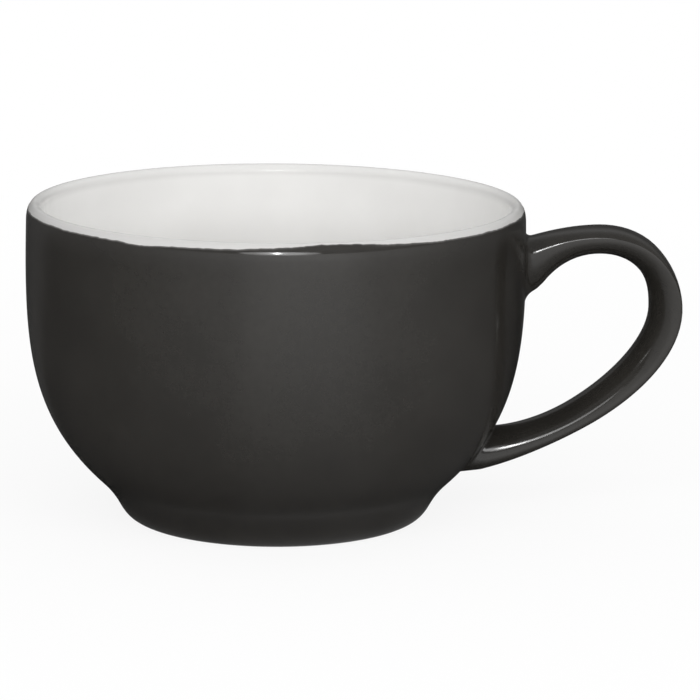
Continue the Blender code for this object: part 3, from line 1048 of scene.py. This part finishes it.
def floor_level(wire, direction):
    """How bright the floor looks in a reflection that leaves the cup in a direction."""
    front = (math.sin(FRONT_TURN), -math.cos(FRONT_TURN), 0.0)
    toward = wire.vector("DOT_PRODUCT", direction, front, output="Value")
    card = wire.vector("DOT_PRODUCT", direction, CARD_WAY, output="Value")
    share = wire.maths("POWER", wire.maths("MAXIMUM", toward * 0.5 + 0.5, 0.0), FRONT_POWER)
    level = FRONT_LEVEL * share + wire.patch(toward, *FRONT_PATCH)
    rear = wire.patch(toward, *REAR_PATCH) + wire.patch(toward, *REAR_CORE)
    return level + rear + wire.patch(card, *CARD_PATCH)


def seen_by(wire):
    """Two masks: rays that see the stage as plain white, and rays mirrored by the glaze."""
    outputs = wire.node("ShaderNodeLightPath").socket.node.outputs
    camera, through, glossy = [Wire(wire.tree, outputs[name]) for name in
                               ("Is Camera Ray", "Is Transmission Ray", "Is Glossy Ray")]
    return wire.maths("MAXIMUM", camera, through), glossy


def floor_finish(colours):
    """Pale floor, white to the camera apart from the cup's soft shadow."""
    material = bpy.data.materials.new("pale_floor")
    material.use_nodes = True
    tree = material.node_tree
    tree.nodes.remove(tree.nodes["Principled BSDF"])
    wire = Wire(tree)
    away = wire.vector("SUBTRACT", wire.node("ShaderNodeTexCoord", output="Object"), AXIS_FOOT)
    distance = wire.vector("LENGTH", away, output="Value")
    white, glossy = seen_by(wire)
    beyond = wire.maths("MAXIMUM", distance - NEAR_REACH, 0.0)
    lit = NEAR_LIT + FAR_LIT * wire.maths("DIVIDE", beyond, beyond + HALF_LIT_REACH)
    lit = lit + wire.patch(distance, *HEEL_PATCH)
    mirrored = floor_level(wire, wire.vector("NORMALIZE", away)) * lit
    level = wire.maths("MAXIMUM", white, glossy * mirrored)
    clear = wire.ramp(distance, SHADOW_START, SHADOW_END, 1 - SHADOW_DEPTH, 1.0)
    cover = wire.maths("MAXIMUM", glossy, white * clear)
    paint = wire.node("ShaderNodeBsdfDiffuse", None, {"Color": shade(colours.floor)}, "BSDF")
    glow = wire.node("ShaderNodeEmission", None, {"Color": level}, "Emission")
    surface = wire.node("ShaderNodeMixShader", None, {0: cover, 1: paint, 2: glow}, "Shader")
    lead(surface, tree.nodes["Material Output"], "Surface")
    return material


def studio_world():
    """World that is white to the camera, lights the cup evenly and is mirrored as a plain studio."""
    world = bpy.data.worlds.new("studio")
    bpy.context.scene.world = world
    world.use_nodes = True
    wire = Wire(world.node_tree)
    direction = wire.node("ShaderNodeTexCoord", output="Generated")
    height = wire.height(direction)
    level_way = wire.vector("NORMALIZE", wire.levelled(direction))
    white, glossy = seen_by(wire)
    cove = wire.ramp(height, COVE_LOW, COVE_HIGH, NEAR_LIT + FAR_LIT, 0.0)
    cove = floor_level(wire, level_way) * cove
    mirrored = wire.maths("MAXIMUM", cove, wire.patch(height, *SKY_PATCH))
    level = wire.maths("MAXIMUM", white, WORLD_LEVEL + glossy * (mirrored - WORLD_LEVEL))
    lead(level, world.node_tree.nodes["Background"], "Color")


# Lights: name, place, width, height, brightness against white, whether it only shows in the gloss
LIGHTS = (
    ("key_core", (AXIS_X + 0.002, -0.270, 0.150), 0.015, 0.032, 21.0, True),
    ("key_middle", (AXIS_X + 0.014, -0.275, 0.152), 0.106, 0.044, 1.4, True),
    ("key_wide", (AXIS_X + 0.008, -0.280, 0.152), 0.170, 0.056, 1.8, True),
    ("soft_fill", (AXIS_X + 0.09, -1.05, 0.80), 2.00, 0.70, 2.60, False),
)
# Power of a lamp that looks white, to the square metre
WATTS_PER_WHITE = 4.0
SENSOR_WIDTH = 36.0
CLIP_START = 0.01


def hang_light(name, place, width, height, brightness, gloss, aim):
    """Softbox at a place, facing a point: a round one for the gloss alone, or a square one without."""
    bpy.ops.object.light_add(type="AREA", location=place)
    lamp = bpy.context.object
    lamp.name = name
    lamp.data.shape = "ELLIPSE" if gloss else "RECTANGLE"
    lamp.data.size = width
    lamp.data.size_y = height
    lamp.data.energy = WATTS_PER_WHITE * width * height * brightness
    lamp.rotation_euler = (Vector(aim) - Vector(place)).to_track_quat("-Z", "Y").to_euler()
    lamp.visible_camera = False
    lamp.visible_glossy = gloss
    lamp.visible_diffuse = not gloss


# Operators

class CUP_OT_turn_liner(bpy.types.Operator):
    """Turn the pale liner that covers the inside and wraps the lip"""

    bl_idname = "cup.turn_liner"
    bl_label = "Turn Liner"

    def execute(self, context):
        scene = context.scene
        outline = liner_outline(scene.cup_bowl, scene.cup_foot, scene.cup_glaze)
        piece = turn_outline("liner_coat", outline, LINER_TURNS)
        finish = pale_glaze(scene.cup_colours, scene.cup_bowl)
        ride_root(piece, finish, "pale_glaze", "liner_glaze")
        return {"FINISHED"}


class CUP_OT_shape_clay(bpy.types.Operator):
    """Turn the clay bowl with its bare foot ring, pull the clay handle and colour their slip"""

    bl_idname = "cup.shape_clay"
    bl_label = "Shape Clay"

    def execute(self, context):
        scene = context.scene
        bowl, foot, glaze = scene.cup_bowl, scene.cup_foot, scene.cup_glaze
        clay = bare_clay("bare_clay", scene.cup_colours, 1.0)
        turned = turn_outline("clay_bowl", clay_outline(bowl, foot, glaze), CLAY_TURNS)
        ride_root(turned, clay, "stoneware", "cup_body")
        depth = glaze.thickness + glaze.clearance
        pulled = clay_handle(HandleRails(bowl, foot, scene.cup_handle, depth))
        ride_root(pulled, clay, "stoneware", "handle")
        slip = bare_clay("slip_clay", scene.cup_colours, SLIP_LIGHTNESS)
        for node in ("upper_luting_slip", "lower_luting_slip"):
            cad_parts[node].data.materials.clear()
            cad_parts[node].data.materials.append(slip)
        return {"FINISHED"}


class CUP_OT_coat_outside(bpy.types.Operator):
    """Coat the bowl's outside, the handle and the recess under the foot with charcoal glaze"""

    bl_idname = "cup.coat_outside"
    bl_label = "Coat Outside"

    def execute(self, context):
        scene = context.scene
        bowl, foot, glaze = scene.cup_bowl, scene.cup_foot, scene.cup_glaze
        charcoal = charcoal_glaze(scene.cup_colours)
        coat = turn_outline("bowl_coat", coat_outline(bowl, foot, glaze), COAT_TURNS)
        wander_edge(coat, bowl, foot, glaze)
        ride_root(coat, charcoal, "charcoal_glaze", "outer_glaze")
        wall = turn_outline("wall_form", outside_line(bowl, foot), COAT_TURNS)
        sleeve = handle_coat(HandleRails(bowl, foot, scene.cup_handle), wall, glaze)
        bpy.data.objects.remove(wall)
        ride_root(sleeve, charcoal, "charcoal_glaze", "outer_glaze")
        recess = turn_outline("recess_coat", recess_outline(foot, glaze), CLAY_TURNS)
        ride_root(recess, charcoal, "charcoal_glaze", "base_glaze")
        return {"FINISHED"}


class CUP_OT_set_stage(bpy.types.Operator):
    """Lay the floor, hang the lights and place the camera"""

    bl_idname = "cup.set_stage"
    bl_label = "Set Stage"

    def execute(self, context):
        scene = context.scene
        scene.view_settings.view_transform = "Standard"
        bpy.ops.object.select_all(action="DESELECT")
        bpy.ops.mesh.primitive_circle_add(vertices=FLOOR_SIDES, radius=FLOOR_RADIUS,
                                          fill_type="NGON", location=(0.0, 0.0, 0.0))
        floor = bpy.context.object
        floor.name = "floor"
        floor.data.materials.append(floor_finish(scene.cup_colours))
        studio_world()
        middle = (AXIS_X, 0.0, scene.cup_bowl.height / 2)
        for light in LIGHTS:
            hang_light(*light, aim=middle)
        settings = scene.cup_camera
        bpy.ops.object.camera_add(location=settings.place)
        camera = bpy.context.object
        camera.name = "camera"
        turn = Matrix.Rotation(-settings.yaw, 3, "Z")
        turn = turn @ Matrix.Rotation(math.pi / 2 - settings.pitch, 3, "X")
        camera.rotation_euler = (turn @ Matrix.Rotation(settings.roll, 3, "Z")).to_euler()
        camera.data.sensor_width = SENSOR_WIDTH
        camera.data.lens = settings.lens
        camera.data.clip_start = CLIP_START
        scene.camera = camera
        return {"FINISHED"}


class CUP_PT_panel(bpy.types.Panel):
    """The cup's steps, in the order in which they are made"""

    bl_idname = "CUP_PT_panel"
    bl_label = "Coffee Cup"
    bl_space_type = "VIEW_3D"
    bl_region_type = "UI"
    bl_category = "Coffee Cup"

    def draw(self, context):
        for step in STEPS:
            self.layout.operator(step.bl_idname)
        for name in SETTINGS:
            group = getattr(context.scene, name)
            box = self.layout.box()
            for prop in group.bl_rna.properties:
                if prop.identifier not in ("rna_type", "name"):
                    box.prop(group, prop.identifier)


SETTINGS = {
    "cup_bowl": CupBowlSizes,
    "cup_foot": CupFootSizes,
    "cup_glaze": CupGlazeSizes,
    "cup_handle": CupHandleSizes,
    "cup_colours": CupColours,
    "cup_camera": CupCameraSizes,
}
STEPS = (CUP_OT_turn_liner, CUP_OT_shape_clay, CUP_OT_coat_outside, CUP_OT_set_stage)


def register():
    """Register the settings, the steps and the panel."""
    for name, group in SETTINGS.items():
        bpy.utils.register_class(group)
        setattr(bpy.types.Scene, name, bpy.props.PointerProperty(type=group))
    for step in STEPS:
        bpy.utils.register_class(step)
    bpy.utils.register_class(CUP_PT_panel)


def unregister():
    """Take back what register added."""
    bpy.utils.unregister_class(CUP_PT_panel)
    for step in reversed(STEPS):
        bpy.utils.unregister_class(step)
    for name, group in reversed(SETTINGS.items()):
        delattr(bpy.types.Scene, name)
        bpy.utils.unregister_class(group)


def main():
    """Build the cup and its stage."""
    register()
    bpy.ops.cup.turn_liner()
    bpy.ops.cup.shape_clay()
    bpy.ops.cup.coat_outside()
    bpy.ops.cup.set_stage()


if __name__ == "__main__":
    main()
